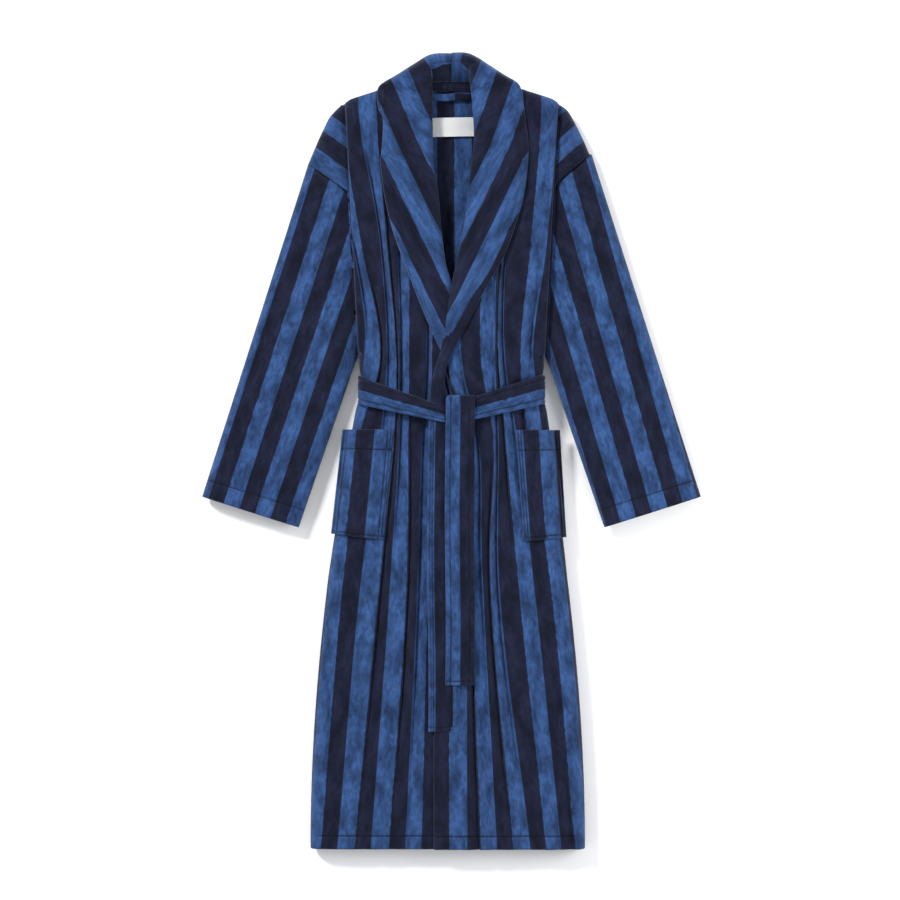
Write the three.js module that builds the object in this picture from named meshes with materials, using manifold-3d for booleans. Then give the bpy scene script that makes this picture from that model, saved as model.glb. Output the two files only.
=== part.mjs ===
// A full-length bathrobe with a shawl collar and a tied belt, lying flat on its back.
// Millimetres, +Z up, head towards +Y. Right and left are the wearer's: the right side is at -X.
// The left front laps over the right one. Stacked cloths keep a small gap between them.
import * as THREE from 'three';
import { mergeVertices } from 'three/addons/utils/BufferGeometryUtils.js';
import Module from 'manifold-3d';

const wasm = await Module();
wasm.setup();

// Driving dimensions of the whole robe.
const robeLength = 1250;
const cloth = 3.6;
const thinCloth = 2.4;
const gap = 0.4;
const torsoSpace = 16;
const waistHalfWidth = 146;
const hemHalfWidth = 216;
const underarmEase = 1;
const shoulderFoldX = 168;
const sideTuck = 90;

// Distances down from the top of the collar.
const neckSeamDrop = 40;
const necklineDrop = 70;
const shoulderFall = 10;
const underarmDrop = 475;
const lapelMeetDrop = 387;
const rollEndDrop = 509;
const waistDrop = 528;

// Sleeves.
const sleeveLength = 551;
const sleeveAngle = THREE.MathUtils.degToRad(17.7);
const armholeWidth = 172;
const cuffWidth = 160;
const sleeveHeight = 34;
const shoulderBeyondWaist = 80;
const shoulderHalfWidth = waistHalfWidth + shoulderBeyondWaist;
const shoulderPointDrop = 171;
const armholeInnerDrop = 217;

// Collar, fronts and the lines that the opened fronts fold along.
const neckHalfWidth = 34;
const collarHalfWidth = 114;
const leftOverlap = 28;
const rightOverlap = 18;
const foldNeckX = 34;
const foldHemX = 112;
const facingWidth = 58;
const shoulderEndX = 178;

// Belt.
const beltWidth = 45;
const beltThickness = 4;
const beltSlope = 0.268;
const knotWidth = 47;
const knotX = 13;
const knotDrop = 559;
const frontTailLength = 429;
const backTailLength = 487;
const backTailX = -15;
const backTailDrop = 576;
const tailWidth = 44;
const tailRoom = 6;
const loopThickness = 2.2;
const loopWidth = 12;

// Pockets and small pieces.
const pocketDrop = 590;
const pocketHeight = 172;
const pocketWidth = 78;
const pocketRoom = 5;
const pocketSeam = 5;
const pocketInnerX = 95;
const pocketLean = 0.1;
const tapeWidth = 64;
const tapeHeight = 15;
const labelWidth = 65;
const labelHeight = 30;
const labelDrop = 98;
const labelThickness = 1;
const loopSpan = 62;
const loopDepth = 15;
const loopStrap = 7;

// Heights of the stacked cloths, from the surface that the robe lies on.
const beltUnder = loopThickness + gap;
const backTuckBottom = beltUnder + beltThickness + gap;
const backBottom = backTuckBottom + cloth + gap;
const backTop = backBottom + cloth;
const rightFacingBottom = backTop + torsoSpace;
const rightFrontBottom = rightFacingBottom + thinCloth + gap;
const rightFrontTop = rightFrontBottom + cloth;
const leftFacingBottom = rightFrontTop + gap;
const leftFrontBottom = leftFacingBottom + thinCloth + gap;
const leftFrontTop = leftFrontBottom + cloth;
const backTailBottom = leftFrontTop + gap;
const beltBottom = backTailBottom + beltThickness + gap;
const beltTop = beltBottom + beltThickness;
const knotBottom = beltTop + gap;
const knotTop = knotBottom + beltThickness + 2;

const collarTopY = robeLength / 2;
const hemY = -robeLength / 2;
const neckY = down(necklineDrop);
const shoulderY = neckY - shoulderFall;
const underarmY = down(underarmDrop);
const waistY = down(waistDrop);
const knotY = down(knotDrop);
const channelHalf = beltWidth / 2 + loopThickness + 2 * gap;
const sideSteps = 16;
const far = 2000;

const colours = {
  navy: 0x232438,
  blue: 0x2d4f91,
  satin: 0xe4e6ec,
};

const robe = new THREE.Group();

function down(distance) {
  return collarTopY - distance;
}

// Half of the body's width at a height, widening from the waist to the hem.
function sideAt(y) {
  const along = THREE.MathUtils.clamp((waistY - y) / (waistY - hemY), 0, 1);
  return waistHalfWidth + (hemHalfWidth - waistHalfWidth) * Math.sin((along * Math.PI) / 2);
}

// The line that a sleeve and its shoulder end fold over along, from the underarm to the shoulder.
function shoulderFoldAt(y) {
  const underarmX = waistHalfWidth + underarmEase;
  return underarmX + ((y - underarmY) * (shoulderFoldX - underarmX)) / (shoulderY - underarmY);
}

// The line that an opened front folds along, measured outwards from the centre.
function foldAt(y) {
  return foldNeckX + ((neckY - y) * (foldHemX - foldNeckX)) / (neckY - hemY);
}

function toSolid(geometry) {
  geometry.deleteAttribute('normal');
  geometry.deleteAttribute('uv');
  const merged = mergeVertices(geometry, 1e-4);
  const mesh = new wasm.Mesh({
    numProp: 3,
    vertProperties: new Float32Array(merged.attributes.position.array),
    triVerts: new Uint32Array(merged.index.array),
  });
  return new wasm.Manifold(mesh);
}

function toGeometry(body) {
  const mesh = body.getMesh();
  const geometry = new THREE.BufferGeometry();
  geometry.setAttribute('position', new THREE.BufferAttribute(new Float32Array(mesh.vertProperties), 3));
  geometry.setIndex(new THREE.BufferAttribute(new Uint32Array(mesh.triVerts), 1));
  const faceted = geometry.toNonIndexed();
  faceted.computeVertexNormals();
  return faceted;
}

// A flat piece of cloth: a plan outline between two heights.
function sheet(points, bottom, top) {
  const shape = new THREE.Shape(points.map(([x, y]) => new THREE.Vector2(x, y)));
  const geometry = new THREE.ExtrudeGeometry(shape, { depth: top - bottom, bevelEnabled: false });
  geometry.translate(0, 0, bottom);
  return toSolid(geometry);
}

// A section drawn in X and Z, run along Y and shifted by a law of Y.
function run(shape, yLow, yHigh, steps, shift) {
  const geometry = new THREE.ExtrudeGeometry(shape, {
    depth: yHigh - yLow,
    steps,
    bevelEnabled: false,
    curveSegments: 10,
  });
  geometry.rotateX(Math.PI / 2);
  geometry.translate(0, yHigh, 0);
  const position = geometry.attributes.position;
  for (let i = 0; i < position.count; i += 1) {
    position.setX(i, position.getX(i) + shift(position.getY(i)));
  }
  return toSolid(geometry);
}

// A box of cloth with its middle at x, y, between two heights.
function block(x, y, width, length, bottom, top) {
  const geometry = new THREE.BoxGeometry(width, length, top - bottom);
  geometry.translate(x, y, (bottom + top) / 2);
  return toSolid(geometry);
}

// Turns each triangle round, for geometry that a mirroring has left inside out.
function flipFaces(geometry) {
  const position = geometry.attributes.position;
  const first = new THREE.Vector3();
  const second = new THREE.Vector3();
  for (let i = 0; i < position.count; i += 3) {
    first.fromBufferAttribute(position, i);
    second.fromBufferAttribute(position, i + 1);
    position.setXYZ(i, second.x, second.y, second.z);
    position.setXYZ(i + 1, first.x, first.y, first.z);
  }
}

// The space round the neck that belongs to the collar's standing part.
function neckBlock() {
  return block(0, neckY + 100, 4 * collarHalfWidth, 200 + 4 * gap, -1, far);
}

// A belt tail with a round end at its pivot, lying towards the hem.
function tail(x, y, length, bottom) {
  const shape = new THREE.Shape();
  shape.moveTo(x - tailWidth / 2, y);
  shape.lineTo(x - tailWidth / 2, y - length);
  shape.lineTo(x + tailWidth / 2, y - length);
  shape.lineTo(x + tailWidth / 2, y);
  shape.absarc(x, y, tailWidth / 2, 0, Math.PI, false);
  const geometry = new THREE.ExtrudeGeometry(shape, {
    depth: beltThickness,
    bevelEnabled: false,
    curveSegments: 12,
  });
  geometry.translate(0, 0, bottom);
  return toSolid(geometry);
}

function mirrored(points, side) {
  return points.map(([outwards, y]) => [outwards * side, y]);
}

// Everything inside the fold line of one front, or everything outside it.
function foldHalf(side, inside) {
  const edge = inside ? -gap / 2 : gap / 2;
  const reach = inside ? -far : far;
  const outline = [
    [foldAt(far) + edge, far],
    [foldAt(-far) + edge, -far],
    [reach, -far],
    [reach, far],
  ];
  return sheet(mirrored(outline, side), -far, far);
}

function add(name, body, colour, roughness = 0.95) {
  const material = new THREE.MeshStandardMaterial({ color: colour, roughness, metalness: 0 });
  const mesh = new THREE.Mesh(toGeometry(body), material);
  mesh.name = name;
  robe.add(mesh);
}

// Points down one side of the body, from the underarm to the hem.
function sidePoints(inset) {
  const points = [];
  for (let i = 0; i <= sideSteps; i += 1) {
    const y = underarmY + ((hemY - underarmY) * i) / sideSteps;
    points.push([sideAt(y) - inset, y]);
  }
  return points;
}

const sides = [
  { name: 'right', side: -1, bottom: rightFrontBottom, top: rightFrontTop, overlap: rightOverlap },
  { name: 'left', side: 1, bottom: leftFrontBottom, top: leftFrontTop, overlap: leftOverlap },
];

// Back panel: one piece from the neck seam to the hem, its sides folded under.
const foldRadius = leftFrontTop / 2;
const foldInside = Math.sqrt((foldRadius - cloth) ** 2 - (foldRadius - backTuckBottom) ** 2);
const backInset = foldRadius - foldInside + 2 * gap;
const backTuckRadius = (backTop - backTuckBottom) / 2;
const backSide = [
  [neckHalfWidth, down(neckSeamDrop - 15)],
  [collarHalfWidth, neckY + 10],
  [shoulderFoldAt(shoulderY), shoulderY],
  [shoulderFoldAt(underarmY + gap), underarmY + gap],
  ...sidePoints(backInset + backTuckRadius),
];
const backOutline = [
  ...mirrored(backSide, 1),
  ...mirrored(backSide, -1).reverse(),
];
let backPanel = sheet(backOutline, backBottom, backTop);
for (const { side } of sides) {
  const fold = new THREE.Shape();
  const centre = -(backInset + backTuckRadius);
  fold.moveTo(side * (centre - 1), backTop);
  fold.lineTo(side * centre, backTop);
  fold.lineTo(side * (centre + backTuckRadius), backTop - backTuckRadius / 2);
  fold.lineTo(side * (centre + backTuckRadius), backTuckBottom + backTuckRadius / 2);
  fold.lineTo(side * centre, backTuckBottom);
  fold.lineTo(side * -(sideTuck - gap), backTuckBottom);
  fold.lineTo(side * -(sideTuck - gap), backTuckBottom + cloth);
  fold.lineTo(side * (centre - 1), backTuckBottom + cloth);
  const tuck = run(fold, hemY, underarmY, sideSteps, (y) => side * sideAt(y));
  backPanel = backPanel.add(tuck);
}
add('back_panel', backPanel, colours.navy);

// Front panels: the part that stays, the free edge that opens, the fold round the side,
// and the part that is tucked under as far as the side seam.
const rollEdge = [
  [neckHalfWidth, 0],
  [neckHalfWidth + 3, 60],
  [neckHalfWidth - 3, 131],
  [neckHalfWidth - 10, 189],
  [neckHalfWidth - 18, 238],
  [-1, lapelMeetDrop - necklineDrop],
  [-11, lapelMeetDrop - necklineDrop + 51],
  [-14, lapelMeetDrop - necklineDrop + 88],
];
for (const { name, side, bottom, top, overlap } of sides) {
  const radius = top / 2;
  const centreInset = radius;
  const outline = [
    ...rollEdge.map(([x, drop]) => [x, neckY - drop]),
    [-overlap, down(rollEndDrop)],
    [-overlap, hemY],
    ...sidePoints(centreInset).reverse(),
    [sideAt(underarmY) - centreInset, underarmY + gap],
    [shoulderFoldAt(underarmY + gap), underarmY + gap],
    [shoulderFoldAt(shoulderY), shoulderY],
    [shoulderFoldAt(shoulderY) - 14, neckY - gap],
  ];
  const front = sheet(mirrored(outline, side), bottom, top);
  add(`${name}_front_side`, front.intersect(foldHalf(side, false)), colours.blue);
  add(`${name}_front_edge`, front.intersect(foldHalf(side, true)), colours.navy);

  const roll = new THREE.Shape();
  const arcCentre = side * (gap - centreInset);
  roll.absarc(arcCentre, radius, radius, -Math.PI / 2, Math.PI / 2, side < 0);
  roll.absarc(arcCentre, radius, radius - cloth, Math.PI / 2, -Math.PI / 2, side > 0);
  let sideFold = run(roll, hemY, underarmY, sideSteps, (y) => side * sideAt(y));
  const channel = sheet(
    [
      [-far, waistY - channelHalf],
      [far, waistY - channelHalf],
      [far, waistY + channelHalf],
      [-far, waistY + channelHalf],
    ],
    -1,
    backTuckBottom,
  );
  sideFold = sideFold.subtract(channel);
  add(`${name}_side_fold`, sideFold, colours.navy);

  const edges = sidePoints(centreInset);
  const tips = sidePoints(sideTuck).reverse();
  const underlap = sheet(mirrored([...edges, ...tips], side), 0, cloth);
  const skirtPart = underlap.trimByPlane([0, -1, 0], -(waistY - channelHalf));
  const chestPart = underlap.trimByPlane([0, 1, 0], waistY + channelHalf);
  add(`${name}_front_underlap`, skirtPart, colours.blue);
  add(`${name}_chest_underlap`, chestPart, colours.blue);
}

// Facings: the inner layer along each free front edge, from the lapel down to the hem.
for (const { name, side, bottom, overlap } of sides) {
  const edge = -overlap + gap;
  const outline = [
    [edge, down(rollEndDrop)],
    [edge, hemY + cloth],
    [edge + facingWidth, hemY + cloth],
    [edge + facingWidth, down(rollEndDrop)],
  ];
  const top = bottom - gap;
  add(`${name}_facing`, sheet(mirrored(outline, side), top - thinCloth, top), colours.navy);
}

// Shoulder ends and sleeves. They fold over the front together.
const sleeveAxis = [Math.sin(sleeveAngle), -Math.cos(sleeveAngle)];
const sleeveAcross = [-Math.cos(sleeveAngle), -Math.sin(sleeveAngle)];
const shoulderPoint = [shoulderHalfWidth, down(shoulderPointDrop)];
const armholeInner = [shoulderFoldAt(down(armholeInnerDrop)) + gap, down(armholeInnerDrop)];
const shoulderOutline = [
  [shoulderFoldAt(shoulderY) + gap, shoulderY],
  [shoulderEndX, neckY - 17],
  [shoulderEndX + 16, neckY - 36],
  [shoulderEndX + 34, neckY - 72],
  [shoulderPoint[0], shoulderPoint[1] + 2 * gap],
  [armholeInner[0], armholeInner[1] + 2 * gap],
];

function alongSleeve(along, across) {
  return [
    shoulderPoint[0] + sleeveAxis[0] * along + sleeveAcross[0] * across,
    shoulderPoint[1] + sleeveAxis[1] * along + sleeveAcross[1] * across,
  ];
}

for (const { name, side } of sides) {
  const rim = shoulderOutline.slice(0, 5);
  const inner = rim.map(([x, y]) => [x - cloth, y - cloth]).reverse();
  inner[inner.length - 1] = [shoulderFoldAt(shoulderY) + gap, shoulderY - cloth];
  const half = sleeveHeight / 2;
  const seamRim = mirrored([...rim, ...inner], side);
  const plan = mirrored(shoulderOutline, side);
  const frontShoulder = sheet(plan, sleeveHeight - cloth, sleeveHeight);
  const backShoulder = sheet(plan, 0, cloth);
  const whole = sheet(plan, 0, sleeveHeight);
  const frontRim = sheet(seamRim, half + gap / 2, sleeveHeight - cloth / 2).intersect(whole);
  const backRim = sheet(seamRim, cloth / 2, half - gap / 2).intersect(whole);
  add(`${name}_front_shoulder`, frontShoulder.add(frontRim), colours.blue);
  add(`${name}_back_shoulder`, backShoulder.add(backRim), colours.blue);

  // The sleeve: a flattened tube, tapering to the cuff and open at both ends.
  const ring = new THREE.Shape();
  ring.absarc(half, half, half, Math.PI / 2, -Math.PI / 2, false);
  ring.absarc(armholeWidth - half, half, half, -Math.PI / 2, Math.PI / 2, false);
  const hollow = new THREE.Path();
  hollow.absarc(half, half, half - cloth, Math.PI / 2, -Math.PI / 2, false);
  hollow.absarc(armholeWidth - half, half, half - cloth, -Math.PI / 2, Math.PI / 2, false);
  ring.holes.push(hollow);
  const start = -armholeWidth / 2;
  const tube = new THREE.ExtrudeGeometry(ring, {
    depth: sleeveLength - start,
    steps: 1,
    bevelEnabled: false,
    curveSegments: 8,
  });
  const position = tube.attributes.position;
  for (let i = 0; i < position.count; i += 1) {
    const along = position.getZ(i) + start;
    const narrowing = ((armholeWidth - cuffWidth) * along) / sleeveLength;
    const share = position.getX(i) / armholeWidth;
    const [x, y] = alongSleeve(along, position.getX(i) - narrowing * share);
    position.setXYZ(i, x * side, y, position.getY(i));
  }
  if (side > 0) {
    flipFaces(tube);
  }
  const sleevePlan = [
    shoulderPoint,
    armholeInner,
    [shoulderFoldAt(underarmY) + gap, underarmY],
    [shoulderFoldAt(underarmY) + gap, -far],
    [far, -far],
    [far, shoulderPoint[1]],
  ];
  const armholeCut = sheet(mirrored(sleevePlan, side), -1, sleeveHeight + 1);
  add(`${name}_sleeve`, toSolid(tube).intersect(armholeCut), colours.navy);
}

// Collar: a shawl collar in two halves, joined at the back of the neck. Each half stays where it
// goes round the neck, and its lapel opens with the front edge below it.
const leftLapelOutline = [
  [collarHalfWidth - 10, neckY + 19],
  [collarHalfWidth, neckY - 30],
  [collarHalfWidth + 4, neckY - 90],
  [collarHalfWidth - 6, neckY - 165],
  [collarHalfWidth - 25, neckY - 223],
  [collarHalfWidth - 66, neckY - 303],
  [29, neckY - 340],
  [1, neckY - 393],
  [-12, neckY - 428],
  [-12, down(lapelMeetDrop) - 163],
  [-leftOverlap, down(lapelMeetDrop) - 159],
  [-leftOverlap, down(rollEndDrop)],
  ...rollEdge.map(([x, drop]) => [x, neckY - drop]).reverse(),
];
const rightLapelOutline = [
  [collarHalfWidth - 4, neckY + 15],
  [collarHalfWidth - 9, neckY - 34],
  [collarHalfWidth - 6, neckY - 90],
  [collarHalfWidth - 12, neckY - 151],
  [collarHalfWidth - 24, neckY - 206],
  [collarHalfWidth - 44, neckY - 261],
  [collarHalfWidth - 60, neckY - 303],
  [36, neckY - 350],
  [15, neckY - 396],
  [12, down(lapelMeetDrop) - 51],
  [2, down(lapelMeetDrop)],
  [2, down(lapelMeetDrop) + 18],
  ...rollEdge.slice(0, 5).map(([x, drop]) => [x, neckY - drop]).reverse(),
];
const collarSeam = gap / 2;
const collarBackOutline = [
  [collarSeam, collarTopY],
  [neckHalfWidth + 4, collarTopY],
  [70, collarTopY - 23],
  [collarHalfWidth - 14, neckY + 26],
  [collarHalfWidth - 4, neckY + gap],
  [neckHalfWidth, neckY + gap],
  [neckHalfWidth, down(neckSeamDrop)],
  [collarSeam, down(neckSeamDrop)],
];
const collarTop = leftFrontTop + gap + cloth;
for (const { name, side, top } of sides) {
  const outline = side > 0 ? leftLapelOutline : rightLapelOutline;
  const lapel = sheet(mirrored(outline, side), top + gap, top + gap + cloth);
  const back = sheet(mirrored(collarBackOutline, side), backTop + gap, collarTop);
  const staying = lapel.intersect(foldHalf(side, false)).add(back);
  const opening = lapel.intersect(foldHalf(side, true)).subtract(neckBlock());
  add(`${name}_collar`, staying, colours.navy);
  add(`${name}_lapel`, opening, colours.blue);
}

// Neck tape, label and hanger loop, on the inside of the back panel.
const tapeBottom = backTop + gap;
add('back_neck_tape', block(0, down(neckSeamDrop) - gap - tapeHeight / 2, tapeWidth, tapeHeight,
  tapeBottom, tapeBottom + thinCloth), colours.navy);
const labelY = down(labelDrop) - labelHeight / 2;
add('neck_label', block(0, labelY, labelWidth, labelHeight, tapeBottom, tapeBottom + labelThickness),
  colours.satin, 0.5);
const loopTopY = down(neckSeamDrop) - tapeHeight - 2 * gap;
const loopStrip = block(0, loopTopY - loopDepth + loopStrap / 2, loopSpan, loopStrap,
  tapeBottom, tapeBottom + thinCloth);
const loopLegX = (loopSpan - loopStrap) / 2;
const loopLegs = [-loopLegX, loopLegX].map((x) =>
  block(x, loopTopY - loopDepth / 2, loopStrap, loopDepth, tapeBottom, tapeBottom + thinCloth));
add('hanger_loop', loopStrip.add(loopLegs[0]).add(loopLegs[1]), colours.blue);

// Patch pockets: sewn on down both sides and along the bottom, open at the top.
for (const { name, side, top } of sides) {
  const low = down(pocketDrop) - pocketHeight;
  const high = down(pocketDrop);
  const lean = pocketHeight * pocketLean;
  const pocketOutline = (inset, lift) => [
    [pocketInnerX + inset, high + lift],
    [pocketInnerX + inset + lean, low + inset],
    [pocketInnerX + pocketWidth + lean - inset, low + inset],
    [pocketInnerX + pocketWidth - inset, high + lift],
  ];
  const bottom = top + gap;
  const outer = sheet(mirrored(pocketOutline(0, 0), side), bottom, bottom + pocketRoom + cloth);
  const room = sheet(mirrored(pocketOutline(pocketSeam, 1), side), bottom - 1, bottom + pocketRoom);
  add(`${name}_pocket`, outer.subtract(room), colours.blue);
}

// Belt: it passes under the back, round both sides and along the front to the knot.
const beltedHalfWidth = sideAt(waistY - channelHalf);
const sideIn = beltedHalfWidth + gap;
const sideOut = sideIn + beltThickness;
add('belt_back', block(0, waistY, 2 * (waistHalfWidth - sideTuck / 3), beltWidth,
  beltUnder, beltUnder + beltThickness), colours.navy);
for (const { name, side } of sides) {
  const frontEnd = 30;
  const turn = 16;
  const profile = [
    [waistHalfWidth - sideTuck / 3 + gap, beltUnder],
    [sideOut - 7, beltUnder],
    [sideOut, beltUnder + 5],
    [sideOut, beltTop - turn],
    [sideOut - turn / 2, beltTop],
    [frontEnd, beltTop],
    [frontEnd, beltBottom],
    [sideOut - turn, beltBottom],
    [sideIn, beltTop - turn],
    [sideIn, beltUnder + beltThickness + 2],
    [sideIn - 3, beltUnder + beltThickness],
    [waistHalfWidth - sideTuck / 3 + gap, beltUnder + beltThickness],
  ];
  const shape = new THREE.Shape(profile.map(([x, z]) => new THREE.Vector2(x * side, z)));
  const half = beltWidth / 2;
  let wrap = run(shape, waistY - half, waistY + half, 1, () => 0);
  wrap = wrap.warp((vertex) => {
    const inwards = Math.max(0, sideOut - turn - side * vertex[0]);
    if (vertex[2] > beltBottom - 1) {
      vertex[1] -= inwards * beltSlope;
    }
  });
  const knotSide = knotX + (side * knotWidth) / 2;
  const frontReach = side < 0 ? -leftOverlap - 2 * gap : knotSide + tailRoom;
  const kept = sheet(
    [
      [frontReach, -far],
      [side * far, -far],
      [side * far, far],
      [frontReach, far],
    ],
    -1,
    far,
  );
  wrap = wrap.intersect(kept);
  add(`belt_${name}_side`, wrap.intersect(foldHalf(side, false)), colours.navy);
  add(`belt_${name}_front`, wrap.intersect(foldHalf(side, true)), colours.navy);
}

// Knot and tails. Each tail has a round end under the knot, where it swings.
const knot = block(knotX, knotY, knotWidth, tailWidth + 2, knotBottom, knotTop);
const stubWidth = leftOverlap + knotX - knotWidth / 2 - gap;
const stub = block(-leftOverlap + stubWidth / 2, knotY, stubWidth + 2, tailWidth - 2, knotBottom, knotTop);
add('belt_knot', knot.add(stub), colours.navy);
add('belt_front_tail', tail(knotX, knotY, frontTailLength, beltBottom), colours.blue);
add('belt_back_tail', tail(backTailX, down(backTailDrop), backTailLength, backTailBottom), colours.navy);

// Belt loops at the side seams: each passes under the belt and is sewn to the folded sides.
for (const { name, side } of sides) {
  const x = side * (waistHalfWidth - sideTuck - loopWidth);
  const reach = beltWidth + 2 * (gap + loopThickness);
  const under = block(x, waistY, loopWidth, reach, 0, backTuckBottom - gap);
  const room = block(x, waistY, loopWidth + 2, beltWidth + 2 * gap, loopThickness, backTuckBottom);
  add(`${name}_belt_loop`, under.subtract(room), colours.navy);
}

export default robe;
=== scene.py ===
import math
import bmesh
import bpy
import numpy as np
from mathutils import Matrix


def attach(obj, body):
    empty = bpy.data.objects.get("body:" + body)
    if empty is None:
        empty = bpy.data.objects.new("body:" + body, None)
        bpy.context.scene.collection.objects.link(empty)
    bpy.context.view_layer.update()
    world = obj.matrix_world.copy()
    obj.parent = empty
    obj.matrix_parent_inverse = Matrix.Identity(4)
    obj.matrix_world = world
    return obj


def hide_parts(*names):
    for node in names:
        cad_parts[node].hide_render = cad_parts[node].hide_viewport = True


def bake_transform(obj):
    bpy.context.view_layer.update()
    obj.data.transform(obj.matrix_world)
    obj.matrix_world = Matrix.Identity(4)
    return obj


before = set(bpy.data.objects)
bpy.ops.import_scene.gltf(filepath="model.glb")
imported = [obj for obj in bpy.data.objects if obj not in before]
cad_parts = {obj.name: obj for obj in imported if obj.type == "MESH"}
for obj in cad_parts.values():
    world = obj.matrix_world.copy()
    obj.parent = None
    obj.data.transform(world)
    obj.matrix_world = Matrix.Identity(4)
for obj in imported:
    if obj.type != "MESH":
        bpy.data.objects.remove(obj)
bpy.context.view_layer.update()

# The camera looks straight down on the robe, which lies on a plain white floor. A broad soft
# light stands at the wearer's upper right, and a weaker, nearer one on the other side fills the
# shadows.
camera_data = bpy.data.cameras.new("camera")
camera_data.sensor_width = 36.0
camera_data.lens = 101.7
camera_data.clip_end = 20.0
camera = bpy.data.objects.new("camera", camera_data)
camera.location = (-0.0024, 0.0025, 4.03)
bpy.context.scene.collection.objects.link(camera)
bpy.context.scene.camera = camera


def set_inputs(node, values):
    for socket, value in values.items():
        node.inputs[socket].default_value = value


def soft_light(name, place, size, power):
    lamp = bpy.data.lights.new(name, "AREA")
    lamp.shape = "DISK"
    lamp.size = size
    lamp.energy = power
    lamp_object = bpy.data.objects.new(name, lamp)
    lamp_object.location = place
    aim = -lamp_object.location
    lamp_object.rotation_euler = aim.to_track_quat("-Z", "Y").to_euler()
    bpy.context.scene.collection.objects.link(lamp_object)


soft_light("key_light", (-3.2, 3.4, 3.9), 1.3, 375.0)
soft_light("fill_light", (1.15, -0.1, 1.0), 0.7, 11.0)
sky = bpy.data.worlds.new("sky")
sky.use_nodes = True
set_inputs(sky.node_tree.nodes["Background"], {"Color": (0.95, 0.97, 1.0, 1.0), "Strength": 0.78})
bpy.context.scene.world = sky
bpy.context.scene.view_settings.view_transform = "Standard"

floor_mesh = bmesh.new()
bmesh.ops.create_grid(floor_mesh, x_segments=1, y_segments=1, size=6.0)
bmesh.ops.translate(floor_mesh, verts=floor_mesh.verts, vec=(0.0, 0.0, -0.001))
floor_data = bpy.data.meshes.new("floor")
floor_mesh.to_mesh(floor_data)
floor = bpy.data.objects.new("floor", floor_data)
bpy.context.scene.collection.objects.link(floor)
paper = bpy.data.materials.new("white_paper")
paper.use_nodes = True
set_inputs(paper.node_tree.nodes["Principled BSDF"],
           {"Base Color": (0.93, 0.93, 0.93, 1.0), "Roughness": 0.9})
floor_data.materials.append(paper)

# The back of the robe: one width of striped cotton velour, cut from the neck seam to the hem, with
# its sides brought round and sewn to the fronts. Velour is a cut-pile knit, about 3 mm thick, whose
# pile lies in patches where it has been pressed.
STRIPE = 0.0274
CLOTH = 0.003
SIDE_TUCK = 0.090
HEM_Y = -0.625
WAIST_Y = 0.097
UNDERARM_Y = 0.150


def clamp(share):
    return np.clip(share, 0, 1)


def eased(share):
    return share * share * (3 - 2 * share)


def soft_noise(x, y, seed, size):
    lattice = np.random.RandomState(seed).rand(64, 64)
    x = np.asarray(x) / size + 32.5
    y = np.asarray(y) / size + 32.5
    column = np.floor(x).astype(int)
    row = np.floor(y).astype(int)
    along_x = eased(x - column)
    along_y = eased(y - row)
    low, high = (
        lattice[line % 64, column % 64] * (1 - along_x) + lattice[line % 64, (column + 1) % 64] * along_x
        for line in (row, row + 1)
    )
    return low * (1 - along_y) + high * along_y - 0.5


# The rows of a mesh stand closer beside a row of stitching and towards a rounded edge.
STITCH_STEPS = (-0.0028, -0.0014, -0.0006, 0.0, 0.0006, 0.0014, 0.0028)
EDGE_STEPS = (0.0, 0.0004, 0.001, 0.0018, 0.003, 0.0045)


def stations(low, high, step, seams=()):
    places = list(np.linspace(low, high, max(2, int(round((high - low) / step)) + 1)))
    for seam in seams:
        places = [p for p in places if abs(p - seam) > 0.0032 or p in (low, high)]
        places += [seam + d for d in STITCH_STEPS]
    for end, way in ((low, 1), (high, -1)):
        places = [p for p in places if abs(p - end) > 0.0045]
        places += [end + way * d for d in EDGE_STEPS]
    return np.array(sorted(p for p in places if low <= p <= high))


def edge_roll(distance, depth=0.0026, reach=0.0042):
    inside = clamp(np.asarray(distance) / reach)
    return depth * (np.sqrt(1 - (1 - inside) ** 2) - 1)


STITCH_DEPTH = 0.0020


def stitch_row(distance):
    return np.exp(-(np.asarray(distance) / 0.0013) ** 2)


def hermite(x, knots, values):
    knots = np.asarray(knots, float)
    values = np.asarray(values, float)
    slopes = np.gradient(values, knots)
    x = np.clip(x, knots[0], knots[-1])
    i = np.clip(np.searchsorted(knots, x) - 1, 0, len(knots) - 2)
    width = knots[i + 1] - knots[i]
    t = (x - knots[i]) / width
    return (
        (2 * t**3 - 3 * t**2 + 1) * values[i]
        + (t**3 - 2 * t**2 + t) * width * slopes[i]
        + (3 * t**2 - 2 * t**3) * values[i + 1]
        + (t**3 - t**2) * width * slopes[i + 1]
    )


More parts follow.
